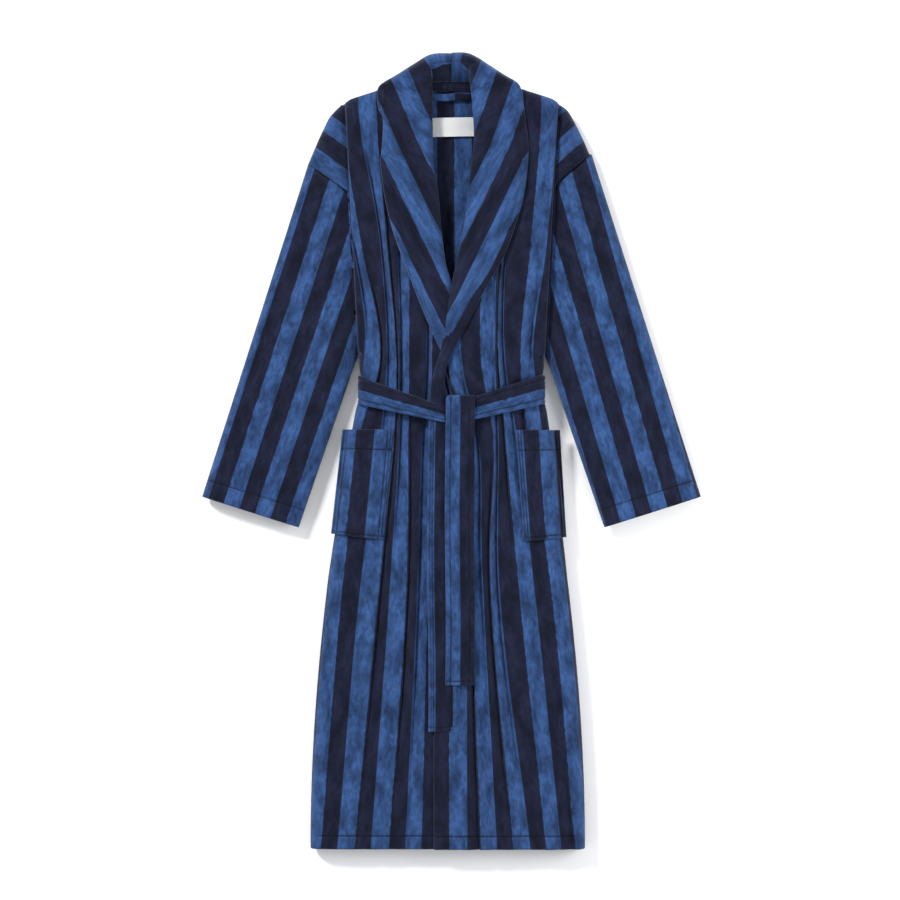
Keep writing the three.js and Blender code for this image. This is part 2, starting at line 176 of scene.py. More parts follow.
def lay_cloth(name, across, along, lie, thickness=CLOTH, closed=False, flip=False, material=None):
    columns = len(across) - 1
    rows = len(along) - 1
    grid = bmesh.new()
    bmesh.ops.create_grid(grid, x_segments=columns, y_segments=rows, size=1.0)
    cells = bpy.data.meshes.new(name)
    grid.to_mesh(cells)
    grid.free()
    places = np.empty(len(cells.vertices) * 3)
    cells.vertices.foreach_get("co", places)
    places = places.reshape(-1, 3)
    column = np.rint((places[:, 0] + 1) / 2 * columns).astype(int)
    row = np.rint((places[:, 1] + 1) / 2 * rows).astype(int)
    x, y, z, u, v, *sunk = lie(np.asarray(across)[column], np.asarray(along)[row])
    cells.vertices.foreach_set("co", np.stack([x, y, z], axis=1).ravel())
    corner = np.empty(len(cells.loops), int)
    cells.loops.foreach_get("vertex_index", corner)
    cloth_map = cells.uv_layers.new(name="cloth")
    flat = np.stack([u, v], axis=1)[corner]
    cloth_map.data.foreach_set("uv", flat.ravel())
    # The stitch rows a lie marks are stored for the material, which darkens the colour there as painted
    # shade in the stitch grooves.
    stitch_shade = cells.attributes.new("stitch_shade", "FLOAT", "POINT")
    stitch_shade.data.foreach_set("value", sunk[0] if sunk else np.zeros(len(x)))
    if flip or closed:
        grid = bmesh.new()
        grid.from_mesh(cells)
        if closed:
            bmesh.ops.remove_doubles(grid, verts=grid.verts, dist=0.00001)
        if flip:
            bmesh.ops.reverse_faces(grid, faces=grid.faces)
        grid.to_mesh(cells)
        grid.free()
    cells.shade_smooth()
    piece = bpy.data.objects.new(name, cells)
    bpy.context.scene.collection.objects.link(piece)
    wall = piece.modifiers.new("wall", "SOLIDIFY")
    wall.thickness = thickness
    wall.offset = -1
    cells.materials.append(material or striped_velour)
    return piece


def velour(name, light, dark, colour_by_stripe=True):
    material = bpy.data.materials.new(name)
    material.use_nodes = True
    nodes = material.node_tree.nodes
    links = material.node_tree.links
    surface = nodes["Principled BSDF"]
    cloth_map = nodes.new("ShaderNodeUVMap")
    cloth_map.uv_map = "cloth"

    streaks = nodes.new("ShaderNodeVectorMath")
    streaks.operation = "MULTIPLY"
    streaks.inputs[1].default_value = (1.0, 0.45, 1.0)
    links.new(cloth_map.outputs["UV"], streaks.inputs[0])

    def noise(scale, detail, distortion=0.0):
        node = nodes.new("ShaderNodeTexNoise")
        set_inputs(node, {"Scale": scale, "Detail": detail, "Distortion": distortion})
        links.new(streaks.outputs[0], node.inputs["Vector"])
        return node.outputs["Fac"]

    def math_node(kind, first, second, third=None):
        node = nodes.new("ShaderNodeMath")
        node.operation = kind
        for socket, value in zip(node.inputs, (first, second, third)):
            if value is None:
                continue
            if isinstance(value, (int, float)):
                socket.default_value = value
            else:
                links.new(value, socket)
        return node.outputs[0]

    def spread(value, low, high, to_low, to_high):
        node = nodes.new("ShaderNodeMapRange")
        node.interpolation_type = "SMOOTHSTEP"
        set_inputs(node, {"From Min": low, "From Max": high, "To Min": to_low, "To Max": to_high})
        links.new(value, node.inputs["Value"])
        return node.outputs["Result"]

    patches = noise(52.0, 5.0, 0.3)
    tufts = noise(210.0, 3.0, 0.2)
    fibres = noise(1300.0, 2.0)
    parts = nodes.new("ShaderNodeSeparateXYZ")
    links.new(cloth_map.outputs["UV"], parts.inputs[0])
    fuzz = math_node("MULTIPLY_ADD", tufts, 0.0022, -0.0011)
    across = math_node("ADD", parts.outputs["X"], fuzz)
    colours = nodes.new("ShaderNodeMix")
    colours.data_type = "RGBA"
    set_inputs(colours, {"A": (*dark, 1), "B": (*light, 1), "Factor": 0.0})
    if colour_by_stripe:
        wave = math_node("PINGPONG", math_node("ADD", across, STRIPE / 2), STRIPE)
        stripe = spread(wave, STRIPE / 2 - 0.0005, STRIPE / 2 + 0.0005, 0.0, 1.0)
        links.new(stripe, colours.inputs["Factor"])
    shade = spread(patches, 0.3, 0.7, 0.60, 1.46)
    shade = math_node("MULTIPLY", shade, spread(tufts, 0.25, 0.75, 0.74, 1.3))
    shade = math_node("MULTIPLY", shade, spread(fibres, 0.2, 0.8, 0.72, 1.28))
    stitch_shade = nodes.new("ShaderNodeAttribute")
    stitch_shade.attribute_name = "stitch_shade"
    # Painted shade: the colour is darkened to half along the marked stitch rows, as if shade lay in their
    # grooves.
    shade = math_node("MULTIPLY", shade, spread(stitch_shade.outputs["Fac"], 0.15, 0.9, 1.0, 0.5))
    tinted = nodes.new("ShaderNodeVectorMath")
    tinted.operation = "SCALE"
    links.new(colours.outputs["Result"], tinted.inputs[0])
    links.new(shade, tinted.inputs["Scale"])
    links.new(tinted.outputs[0], surface.inputs["Base Color"])
    links.new(spread(patches, 0.3, 0.7, 0.97, 0.8), surface.inputs["Roughness"])
    set_inputs(surface, {"Specular IOR Level": 0.15, "Sheen Weight": 0.22, "Sheen Roughness": 0.45,
                         "Sheen Tint": (0.55, 0.65, 0.95, 1.0)})
    height = math_node("MULTIPLY_ADD", patches, 1.1, math_node("MULTIPLY_ADD", tufts, 0.55, fibres))
    bump = nodes.new("ShaderNodeBump")
    set_inputs(bump, {"Strength": 0.8, "Distance": 0.0011})
    links.new(height, bump.inputs["Height"])
    links.new(bump.outputs["Normal"], surface.inputs["Normal"])
    return material


BLUE = (0.0174, 0.046, 0.130)
NAVY = (0.0042, 0.0056, 0.0180)
striped_velour = velour("striped_velour", BLUE, NAVY)
navy_velour = velour("navy_velour", BLUE, NAVY, colour_by_stripe=False)


def side_at(y):
    share = clamp((WAIST_Y - y) / (WAIST_Y - HEM_Y))
    return 0.146 + 0.070 * np.sin(share * math.pi / 2)


CREASE_X = 0.147
CREASE_SHIFT = 0.021
CREASE_LENGTH = 0.395


def shoulder_fold_at(y):
    return CREASE_X + (np.asarray(y) - UNDERARM_Y) * CREASE_SHIFT / CREASE_LENGTH


def shoulder_line(out):
    return np.interp(out, [0.0, 0.035, 0.1125, 0.1576, 0.1837], [0.586, 0.586, 0.5698, 0.5555, 0.5395])


BACK_TOP = 0.0146


def lie_back(s, t):
    # s runs from the right side seam to the left one, as a share from -1 to 1; t is the height y.
    fall = clamp((UNDERARM_Y - t) / 0.012)
    top = shoulder_line(clamp(np.abs(s) / 0.72) * 0.166) - 0.003
    t = np.minimum(t, 0.50) + np.clip(t - 0.50, 0, None) * (top - 0.50) / 0.066
    outer = np.where(t < UNDERARM_Y, side_at(t) - 0.0125, shoulder_fold_at(t) - 0.002)
    reach = np.abs(s)
    flat = clamp(reach / 0.72) * outer
    turn = clamp((reach - 0.72) / 0.06) * fall
    tuck = clamp((reach - 0.78) / 0.22) * fall
    out = flat + 0.0036 * np.sin(turn * math.pi) - tuck * (outer - side_at(t) + SIDE_TUCK)
    z = BACK_TOP - 0.0038 * (1 - np.cos(turn * math.pi))
    z = z + 0.0016 * soft_noise(flat * np.sign(s), t * 0.35, 5, 0.05) * (1 - turn)
    u = np.sign(s) * (flat + turn * 0.011 + tuck * (SIDE_TUCK - 0.012)) - 0.0045
    return np.sign(s) * out, t, z, u, t


half_back = np.concatenate([
    np.linspace(0, 0.70, 26),
    np.linspace(0.72, 0.78, 9),
    np.linspace(0.80, 1.0, 8),
])
back_across = np.concatenate([-half_back[:0:-1], half_back])
back_along = stations(HEM_Y, 0.566, 0.010, seams=[HEM_Y + 0.020])
back_panel = lay_cloth("back_cloth", back_across, back_along, lie_back)
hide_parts("back_panel")
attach(back_panel, "robe_body")

# The two fronts: each is one width of the same velour, cut from the shoulder to the hem. Its side is
# brought round under the back as far as the side seam, the belt gathers it in soft folds at the
# waist, its hem is turned up 20 mm and topstitched, and its top goes over the shoulder.
HEM_STITCH = HEM_Y + 0.021
ROLL_LINE_Y = [0.585, 0.555, 0.495, 0.424, 0.366, 0.317, 0.238, 0.187, 0.150, 0.116]
ROLL_LINE_X = [0.034, 0.034, 0.037, 0.031, 0.024, 0.016, -0.001, -0.011, -0.014, -0.018]


FOLD_TOP_X = 0.034
FOLD_TOP_Y = 0.555
FOLD_SHIFT = 0.078
FOLD_LENGTH = 1.180


def front_fold_at(y):
    return FOLD_TOP_X + (FOLD_TOP_Y - y) * FOLD_SHIFT / FOLD_LENGTH


class FrontDrape:
    """How one front lies: the places of its stripe edges at a few heights, seen from above."""

    heights = [-0.625, -0.1706, 0.0419, 0.1284, 0.333, 0.5456, 0.62]

    def __init__(self, side, top, edges, free_edge, sway):
        self.side = side
        self.sway = sway
        self.top = top
        self.radius = top / 2
        self.edges = np.array(edges) / 1000.0
        self.free_edge = free_edge
        self.count = len(edges[0])

    def side_line(self, y):
        pulled_in = 0.0055 * np.exp(-(((y - 0.1000) / 0.022) ** 2))
        return side_at(y) + self.sway * clamp((0.10 - y) / 0.30) - pulled_in

    def places(self, y):
        return [hermite(y, self.heights, self.edges[:, i]) for i in range(self.count)]

    def along_cloth(self, place, places, s_edges, beyond):
        """How far along the cloth one place is, which is seen from above."""
        for i in range(self.count - 1):
            width = places[i + 1] - places[i]
            inside = (place >= places[i]) & (place < places[i + 1])
            beyond = np.where(inside, s_edges[i] + STRIPE * (place - places[i]) / width, beyond)
        return beyond

    def lie(self, share, y):
        places = self.places(y)
        s_edges = STRIPE * np.arange(self.count)
        inner = np.interp(y, ROLL_LINE_Y[::-1], ROLL_LINE_X[::-1]) + 0.004
        inner = inner + (self.free_edge - inner) * clamp((0.160 - y) / 0.044)
        inner_s = self.along_cloth(inner, places, s_edges, s_edges[0] + (inner - places[0]))
        low_part = clamp((UNDERARM_Y + 0.008 - y) / 0.014)
        flat_end = (self.side_line(y) - self.radius) * low_part
        flat_end = flat_end + (shoulder_fold_at(y) - 0.004) * (1 - low_part)
        tuck = np.minimum(SIDE_TUCK, self.side_line(y) - front_fold_at(y) - 0.006)
        under = (math.pi * self.radius + tuck - self.radius) * low_part + 0.009 * (1 - low_part)
        last = places[-1]
        outer_s = self.along_cloth(flat_end, places, s_edges, s_edges[-1] + (flat_end - last))
        s = inner_s + (outer_s - inner_s) * clamp(share) + under * clamp(share - 1)
        out = places[0] + (s - s_edges[0])
        dip = np.zeros_like(s)
        for i in range(self.count - 1):
            width = places[i + 1] - places[i]
            inside = (s >= s_edges[i]) & (s < s_edges[i + 1])
            f = (s - s_edges[i]) / STRIPE
            out = np.where(inside, places[i] + width * f, out)
            squeeze = clamp(1 - width / STRIPE)
            depth = 0.5 * np.sqrt(np.clip(STRIPE**2 - width**2, 0, None))
            depth = depth * np.clip(squeeze * 3.2, 0.18, 0.95)
            rounded = 1 - np.sqrt(1 - clamp(f / 0.84) ** 2)
            rising = 0.5 - 0.5 * np.cos(math.pi * clamp((1 - f) / 0.16))
            profile = np.where(f < 0.84, 0.35 * f / 0.84 + 0.65 * rounded, rising)
            dip = np.where(inside, depth * profile, dip)
        beyond = s >= s_edges[-1]
        out = np.where(beyond, last + (s - s_edges[-1]), out)
        out = np.where(share > 1, flat_end + under * (share - 1), out)
        return self.shape(s, out, dip, y, inner, low_part, flat_end)

    def shape(self, s, out, dip, y, inner, low_part, flat_end):
        radius = self.radius
        over = np.clip(out - flat_end, 0, None)
        turn = np.clip(over / radius, 0, math.pi)
        tucked = np.clip(over - math.pi * radius, 0, None)
        x_low = np.minimum(out, flat_end) + radius * np.sin(turn) - tucked
        z_low = radius + radius * np.cos(turn)
        lip = clamp(over / 0.008)
        x_high = np.minimum(out, flat_end) + 0.004 * np.sin(lip * math.pi / 2)
        z_high = self.top - 0.010 * (1 - np.cos(lip * math.pi / 2))
        x = x_low * low_part + x_high * (1 - low_part)
        z = z_low * low_part + z_high * (1 - low_part)
        flatness = clamp(1 - over / 0.012)
        z = z - dip * flatness
        z = z + (0.0050 * soft_noise(out, y * 0.22, 11 + self.side, 0.024)) * flatness
        z = z + (0.0030 * soft_noise(out, y, 17 + self.side, 0.016)) * flatness
        z = z + edge_roll(out - inner) + edge_roll(y - HEM_Y)
        seam = stitch_row(y - HEM_STITCH) * flatness
        z = z - STITCH_DEPTH * seam
        silhouette = shoulder_line(out)
        wrap = 0.0145
        past = np.clip(y - (silhouette - wrap), 0, None)
        bend = np.clip(past / wrap, 0, math.pi)
        behind = np.clip(past - math.pi * wrap, 0, None)
        y_out = np.minimum(y, silhouette - wrap) + wrap * np.sin(bend) - behind
        z = z - wrap * (1 - np.cos(bend)) * clamp((self.top - 0.0180) / (2 * wrap))
        return self.side * x, y_out, z, s, y, seam


right_drape = FrontDrape(
    -1, 0.0370,
    [
        [47.2, 72.9, 98.4, 127.0, 152.7, 179.8, 205.4, 232.0],
        [35.4, 52.3, 69.1, 94.4, 109.4, 138.7, 166.8, 191.0],
        [27.5, 45.6, 67.7, 82.6, 88.9, 110.2, 140.1, 166.1],
        [31.0, 39.7, 67.0, 81.5, 86.0, 103.0, 114.4, 140.0],
        [20.0, 42.0, 66.0, 85.8, 102.3, 113.3, 143.2, 156.0],
        [12.0, 37.0, 63.7, 90.5, 118.0, 146.4, 173.9, 200.7],
        [12.0, 37.0, 63.7, 90.5, 118.0, 146.4, 173.9, 200.7],
    ],
    free_edge=-0.018, sway=0.0065)
left_drape = FrontDrape(
    1, 0.0438,
    [
        [-3.6, 25.0, 46.1, 71.6, 97.3, 124.3, 148.6, 172.7, 193.8, 218.0],
        [-4.0, 22.0, 30.0, 47.8, 60.4, 73.2, 101.5, 125.1, 150.3, 175.5],
        [-4.0, 16.0, 27.0, 38.6, 63.7, 73.2, 82.6, 100.0, 117.3, 139.3],
        [-24.0, -12.0, -5.5, 18.1, 48.0, 69.3, 74.5, 85.8, 108.8, 128.3],
        [-30.0, -18.0, 2.0, 22.0, 48.0, 70.0, 80.0, 87.0, 125.1, 150.3],
        [-60.0, -34.0, -10.0, 12.0, 34.0, 60.0, 85.8, 112.5, 140.9, 167.6],
        [-60.0, -34.0, -10.0, 12.0, 34.0, 60.0, 85.8, 112.5, 140.9, 167.6],
    ],
    free_edge=-0.028, sway=-0.0055)


def blend_at_fold(piece):
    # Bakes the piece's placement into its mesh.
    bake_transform(piece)


edge_shares = np.array([0.0, 0.0012, 0.003, 0.0055, 0.009, 0.013])
front_shares = np.concatenate([edge_shares, np.linspace(0.019, 1.0, 116), np.linspace(1.03, 2.0, 32)])
front_along = stations(HEM_Y, 0.612, 0.0052, seams=[HEM_STITCH])
front_along = np.unique(np.round(np.concatenate([front_along, np.linspace(0.140, 0.162, 12)]), 4))
for name, drape in (("right", right_drape), ("left", left_drape)):
    front = lay_cloth(f"{name}_front_cloth", front_shares, front_along, drape.lie,
                      flip=drape.side < 0)
    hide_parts(f"{name}_front_side", f"{name}_front_edge", f"{name}_side_fold",
                f"{name}_front_underlap", f"{name}_chest_underlap")
    blend_at_fold(front)

# The shoulder ends: the fronts and the back reach past the crease at the armhole as far as the
# sleeve seam. Here the cloth lies turned, so that its stripes run along the seam.
SLEEVE_LEAN = math.radians(17.7)
DOWN_SLEEVE = (math.sin(SLEEVE_LEAN), -math.cos(SLEEVE_LEAN))
INTO_SLEEVE = (-math.cos(SLEEVE_LEAN), -math.sin(SLEEVE_LEAN))
SHOULDER_POINT = (0.226, 0.454)
SLEEVE_HALF = 0.0165


def blend_at_shoulder(piece):
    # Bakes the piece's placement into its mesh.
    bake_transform(piece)


class ShoulderEnd:
    def __init__(self, side, rim, crease, seam_from, seam_to, shift):
        self.side = side
        self.rim = np.array(rim) / 1000.0
        self.crease = np.array(crease) / 1000.0
        self.seam_from = np.array(seam_from) / 1000.0
        self.seam_to = np.array(seam_to) / 1000.0
        self.shift = shift

    def lie(self, a, t):
        # a runs from the crease on the front (0) over the rim (1) to the crease on the back (2).
        rim_x, rim_y = (hermite(t, self.rim[:, 2] * 1000, self.rim[:, i]) for i in (0, 1))
        in_x, in_y = (hermite(t, self.crease[:, 2] * 1000, self.crease[:, i]) for i in (0, 1))
        width = np.hypot(rim_x - in_x, rim_y - in_y)
        share = 1 - np.abs(a - 1)
        x = in_x + (rim_x - in_x) * share
        y = in_y + (rim_y - in_y) * share
        from_rim = width * (1 - share)
        from_crease = width * share
        bow = clamp(1 - from_rim / np.minimum(0.016, width))
        lift = np.sqrt(1 - bow**2)
        height = SLEEVE_HALF * lift
        height = height - np.where(a <= 1, 0.007 * np.exp(-(from_crease / 0.012) ** 2), 0.0)
        height = height - 0.0035 * np.exp(-((1 - t) * 0.10 / 0.0035) ** 2) * lift
        height = height + 0.003 * soft_noise(x, y, 31 + self.side, 0.022) * lift
        z = SLEEVE_HALF + 0.0005 + np.where(a <= 1, height, -np.minimum(height, SLEEVE_HALF))
        along = self.seam_to - self.seam_from
        along = along / np.hypot(*along)
        distance = (x - self.seam_from[0]) * along[1] - (y - self.seam_from[1]) * along[0]
        u = np.abs(distance) + self.shift
        v = (x - self.seam_from[0]) * along[0] + (y - self.seam_from[1]) * along[1]
        return self.side * x, y, z, u, v


right_end = ShoulderEnd(
    -1,
    [[174, 547, 0.0], [191.5, 528.7, 0.2], [200, 513, 0.4], [212.5, 485.7, 0.7], [226, 454, 1.0]],
    [[164, 543, 0.0], [161, 500, 0.3], [158, 450, 0.65], [155, 403, 1.0]],
    (226, 454), (162.9, 408.6), 0.0)
left_end = ShoulderEnd(
    1,
    [[170, 548, 0.0], [181.8, 539.4, 0.14], [192.8, 522, 0.34], [207.9, 492, 0.7], [218, 468.5, 1.0]],
    [[163, 543, 0.0], [160, 500, 0.3], [158, 460, 0.65], [156, 414, 1.0]],
    (218, 468.5), (167.2, 424.3), 0.0328)
turn_shares = np.concatenate([
    np.linspace(0, 0.72, 22),
    np.linspace(0.75, 1.25, 31),
    np.linspace(1.28, 2, 22),
])
for name, end in (("right", right_end), ("left", left_end)):
    shoulder = lay_cloth(f"{name}_shoulder_cloth", turn_shares, np.linspace(0, 1, 56), end.lie,
                         flip=end.side > 0)
    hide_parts(f"{name}_front_shoulder", f"{name}_back_shoulder")
    blend_at_shoulder(shoulder)

# The sleeves: one width of velour each, sewn into a tube and set into the armhole. The stripes run
# down the sleeve, and the end is turned up 28 mm and topstitched.
SLEEVE_LENGTH = 0.551
ARMHOLE_WIDTH = 0.172
CUFF_NARROWING = 0.012
CUFF_HEM = 0.028


class SleeveTube:
    def __init__(self, side, seam_start, seam_slope, first_boundary, stripe_drift):
        self.side = side
        self.seam_start = seam_start
        self.seam_slope = seam_slope
        self.first_boundary = first_boundary
        self.stripe_drift = stripe_drift

    def lie(self, c, b):
        # c runs once round the tube from the outer edge; b runs from the armhole to the cuff.
        front = c <= 0.5
        half_turn = np.where(front, c, 1 - c) * 2
        radius = SLEEVE_HALF
        quarter = math.pi / 2 * radius
        level = ARMHOLE_WIDTH - 2 * radius
        p = half_turn * (2 * quarter + level)
        first = np.clip(p / radius, 0, math.pi / 2)
        last = np.clip((p - quarter - level) / radius, 0, math.pi / 2)
        across = radius * (1 - np.cos(first)) + np.clip(p - quarter, 0, level) + radius * np.sin(last)
        lift = np.sin(first) - (1 - np.cos(last))
        start = self.seam_start + self.seam_slope * across
        length = start + (SLEEVE_LENGTH - start) * b
        narrowed = across * (1 - CUFF_NARROWING / ARMHOLE_WIDTH * length / SLEEVE_LENGTH)
        x = SHOULDER_POINT[0] + DOWN_SLEEVE[0] * length + INTO_SLEEVE[0] * narrowed
        y = SHOULDER_POINT[1] + DOWN_SLEEVE[1] * length + INTO_SLEEVE[1] * narrowed
        inner_x = shoulder_fold_at(y) - np.where(front, 0.005, -0.001)
        hidden = np.clip(inner_x - x, 0, None)
        x = np.where(hidden > 0, inner_x - 0.03 * hidden, x)
        crown = np.sin(clamp(across / ARMHOLE_WIDTH) * math.pi)
        height = (SLEEVE_HALF - 0.0028) * lift + 0.0028 * crown * lift
        near_body = clamp((UNDERARM_Y + 0.02 - y) / 0.05)
        from_crease = x - shoulder_fold_at(y)
        height = height - np.where(front, 0.007 * np.exp(-(from_crease / 0.012) ** 2) * (1 - near_body), 0)
        from_seam = (SLEEVE_LENGTH - start) * b
        height = height - 0.0046 * np.exp(-((from_seam - 0.001) / 0.0035) ** 2) * lift
        wave = soft_noise(across, length * 0.16, 41 + self.side, 0.034)
        height = height + 0.0065 * wave * np.abs(lift) * clamp(from_seam / 0.03)
        height = height + 0.0020 * soft_noise(across, length, 43 + self.side, 0.018) * np.abs(lift)
        to_cuff = SLEEVE_LENGTH - length
        seam = stitch_row(to_cuff - CUFF_HEM)
        height = height + (edge_roll(to_cuff) - STITCH_DEPTH * seam) * lift
        z = SLEEVE_HALF + 0.0005 + np.where(front, height, -np.minimum(height, SLEEVE_HALF))
        # The armhole seam is marked as well, for painted shade only; the height is already set above.
        seam = np.maximum(seam, 0.6 * stitch_row(from_seam - 0.0005))
        s = np.where(front, p, -p) - (quarter - radius)
        u = s - self.first_boundary - self.stripe_drift * length / SLEEVE_LENGTH
        return self.side * x, y, z, u, length, seam


right_tube = SleeveTube(-1, 0.0, 0.351, 0.0126 - STRIPE, 0.0)
left_tube = SleeveTube(1, -0.0165, 0.46, 0.0114 - STRIPE, 0.0226)
sleeve_across = np.linspace(0, 1, 145)
for name, tube in (("right", right_tube), ("left", left_tube)):
    b_seams = 1 - CUFF_HEM / SLEEVE_LENGTH
    near_stitch = [b_seams + d / SLEEVE_LENGTH for d in STITCH_STEPS]
    near_cuff = [1 - d / SLEEVE_LENGTH for d in EDGE_STEPS]
    near_seam = [d / SLEEVE_LENGTH for d in (0.0, 0.001, 0.002, 0.0035, 0.005, 0.007)]
    plain = [b for b in np.linspace(0.016, 0.985, 92) if abs(b - b_seams) > 0.007]
    sleeve_along = np.array(sorted(near_seam + plain + near_stitch + near_cuff))
    sleeve = lay_cloth(f"{name}_sleeve_cloth", sleeve_across, sleeve_along, tube.lie, closed=True,
                       flip=tube.side < 0)
    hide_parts(f"{name}_sleeve")
    blend_at_shoulder(sleeve)
    girth = 2 * (math.pi * SLEEVE_HALF + ARMHOLE_WIDTH - 2 * SLEEVE_HALF)
    mean_length = SLEEVE_LENGTH - tube.seam_start - tube.seam_slope * ARMHOLE_WIDTH / 2
    cut_area = girth * mean_length * (1 - CUFF_NARROWING / ARMHOLE_WIDTH / 2)

# The shawl collar: two halves of velour, joined by a seam at the back of the neck. It stands round
# the neck, rolls over and lies on the fronts as lapels, with its stripes on the slant.


class CollarHalf:
    """Pairs of points along one half, from the back of the neck down to the end of the lapel."""

    def __init__(self, side, outer, roll, top, slant_at, spacing, offset, top_pull, stand_stripe, cap):
        self.side = side
        self.outer = np.array(outer) / 1000.0
        self.roll = np.array(roll) / 1000.0
        self.top = top
        self.slant_at = slant_at
        self.spacing = spacing
        self.offset = offset
        self.top_pull = top_pull
        self.stand_stripe = stand_stripe
        self.cap = cap

    def cut(self, first, last, turned):
        """Length and area of the cut between two points, with the width turned in at both edges."""
        steps = np.hypot(*np.diff(self.outer[first:last + 1], axis=0).T)
        widths = np.hypot(*(self.outer - self.roll)[first:last + 1].T) + turned
        return steps.sum(), widths.max(), (steps * (widths[1:] + widths[:-1]) / 2).sum()

    def stripe_at(self, out, y):
        boundary = self.slant_at - 0.48 * (0.4589 - y)
        u = STRIPE * ((boundary - out) / self.spacing - self.offset)
        u = u - self.top_pull * np.clip(y - 0.480, 0, None)
        return np.where(out < 0.045, np.minimum(u, self.cap), u)

    def lie(self, a, t):
        # a: -1 to 0 behind the outer edge, 0 to 1 from the outer edge to the roll, 1 to 2 inside.
        knots = np.arange(len(self.outer))
        outer_x, outer_y = (hermite(t, knots, self.outer[:, i]) for i in (0, 1))
        roll_x, roll_y = (hermite(t, knots, self.roll[:, i]) for i in (0, 1))
        width = np.hypot(outer_x - roll_x, outer_y - roll_y)
        into_x = (roll_x - outer_x) / width
        into_y = (roll_y - outer_y) / width
        at_neck = eased(clamp((5.6 - t) / 1.2))
        stand = clamp((4.2 - t) / 1.2)
        share = clamp(a)
        behind = clamp(-a)
        inside = clamp(a - 1)
        x = outer_x + (roll_x - outer_x) * share
        y = outer_y + (roll_y - outer_y) * share
        from_edge = width * share
        from_roll = width * (1 - share)
        bow = clamp(1 - from_edge / 0.014)
        drop = (0.024 * at_neck) * (1 - np.sqrt(1 - bow**2))
        z = self.top - 0.0022 * clamp((t - 15.5) / 2) + 0.0035 * at_neck - drop
        z = z + edge_roll(from_edge, 0.0028, 0.005) * (1 - at_neck)
        z = z + 0.0028 * np.sin(share * math.pi) * clamp(width / 0.04)
        z = z - 0.0040 * clamp(1 - from_roll / 0.007) ** 2
        low_end = clamp((t - 13.5) / 1.5)
        seam = stitch_row(from_edge - 0.0070) * (0.35 + 0.65 * low_end)
        seam = seam + stitch_row(from_edge - 0.0125) * low_end
        seam = seam * (1 - at_neck) * (share > 0)
        z = z - STITCH_DEPTH * seam
        wave = soft_noise(x + 0.4 * y, y * 0.3, 51 + self.side, 0.03)
        z = z + 0.0045 * wave * clamp(from_edge / 0.02)
        tuck = behind * (0.008 + 0.014 * at_neck)
        x = x + into_x * tuck
        y = y + into_y * tuck
        z = z - np.sin(behind * math.pi / 2) * (0.0028 + 0.009 * at_neck)
        neck_x = np.clip(roll_x, 0, 0.031)
        neck_y = 0.585
        low_x = roll_x - into_x * 0.010
        low_y = roll_y - into_y * 0.010
        end_x = neck_x * stand + low_x * (1 - stand)
        end_y = neck_y * stand + low_y * (1 - stand)
        end_z = 0.0185 * stand + (self.top - 0.0085) * (1 - stand)
        sag = np.sin(inside * math.pi) * 0.004
        x = x + (end_x - x) * inside + into_x * sag * (1 - stand)
        y = y + (end_y - y) * inside
        z = z + (end_z - z) * (inside * (1 - stand) + (inside**1.4) * stand)
        u = self.stripe_at(outer_x + (roll_x - outer_x) * share, outer_y + (roll_y - outer_y) * share)
        band = np.interp(t, [12.2, 14.5, 15.5, 16.5], [0.0, 0.0125, 0.0135, 0.040]) * (self.side > 0)
        u = np.where(share * width < band, -2 * STRIPE - 0.003 - 0.1 * share * width, u)
        u = u - tuck
        inner_u = u + 0.010
        stand_u = u + (self.stand_stripe - u) * clamp(inside * 1.6)
        turned_u = stand_u * stand + (u + (inner_u - u) * inside) * (1 - stand)
        u = np.where(inside > 0, turned_u, u)
        return self.side * x, y, z, u, t * 0.03, seam


right_collar = CollarHalf(
    -1,
    [[0, 624.5], [22, 624.5], [37, 621], [55, 610], [84, 591.5], [104, 579], [114, 566], [112, 540],
     [105, 521], [107.5, 470], [109.4, 456], [103, 404], [90, 349], [70.2, 294], [54.3, 252],
     [35.6, 205.6], [12.6, 155]],
    [[0, 612], [20, 611], [33, 607], [34.5, 597], [33.8, 580], [33, 565], [33, 550], [34, 529], [33.5, 510],
     [32, 470], [31, 445], [24.4, 410], [19, 350], [12, 295], [0.8, 256], [-3, 205], [-8, 160]],
    0.0425, 0.1062, 0.03274, 0.0, 0.055, 0.160, 0.132)
left_collar = CollarHalf(
    1,
    [[0, 624.5], [22, 624.5], [38.6, 618], [55, 607.5], [80, 591], [99, 579], [107, 566], [111, 540],
     [114, 515], [117.9, 484], [117, 452], [110, 400], [94.5, 346], [77.6, 303], [47.5, 251],
     [29.1, 215], [1.4, 161.5], [-12.4, 127], [-12.4, 100], [-12.4, 60]],
    [[0, 612], [18, 611], [30, 607], [32, 598], [31, 586], [33, 570], [34.8, 555], [36.5, 530], [38, 508],
     [38.2, 484], [34, 450], [28.5, 400], [21.5, 346], [12, 303], [1, 251], [-5.5, 215], [-13, 165],
     [-24, 127], [-29.5, 100], [-30, 60]],
    0.0492, 0.1125, 0.0306, 1.0, 0.12, 0.122, 0.134)
collar_across = np.unique(np.round(np.concatenate([
    np.linspace(-1, -0.1, 7),
    [0.0, 0.006, 0.014, 0.03, 0.05],
    stations(0.065, 1.0, 0.028),
    np.linspace(1.05, 2, 14),
]), 5))
LAPEL_FROM = 6
NECK_TURNED = 0.052
LAPEL_TURNED = 0.018
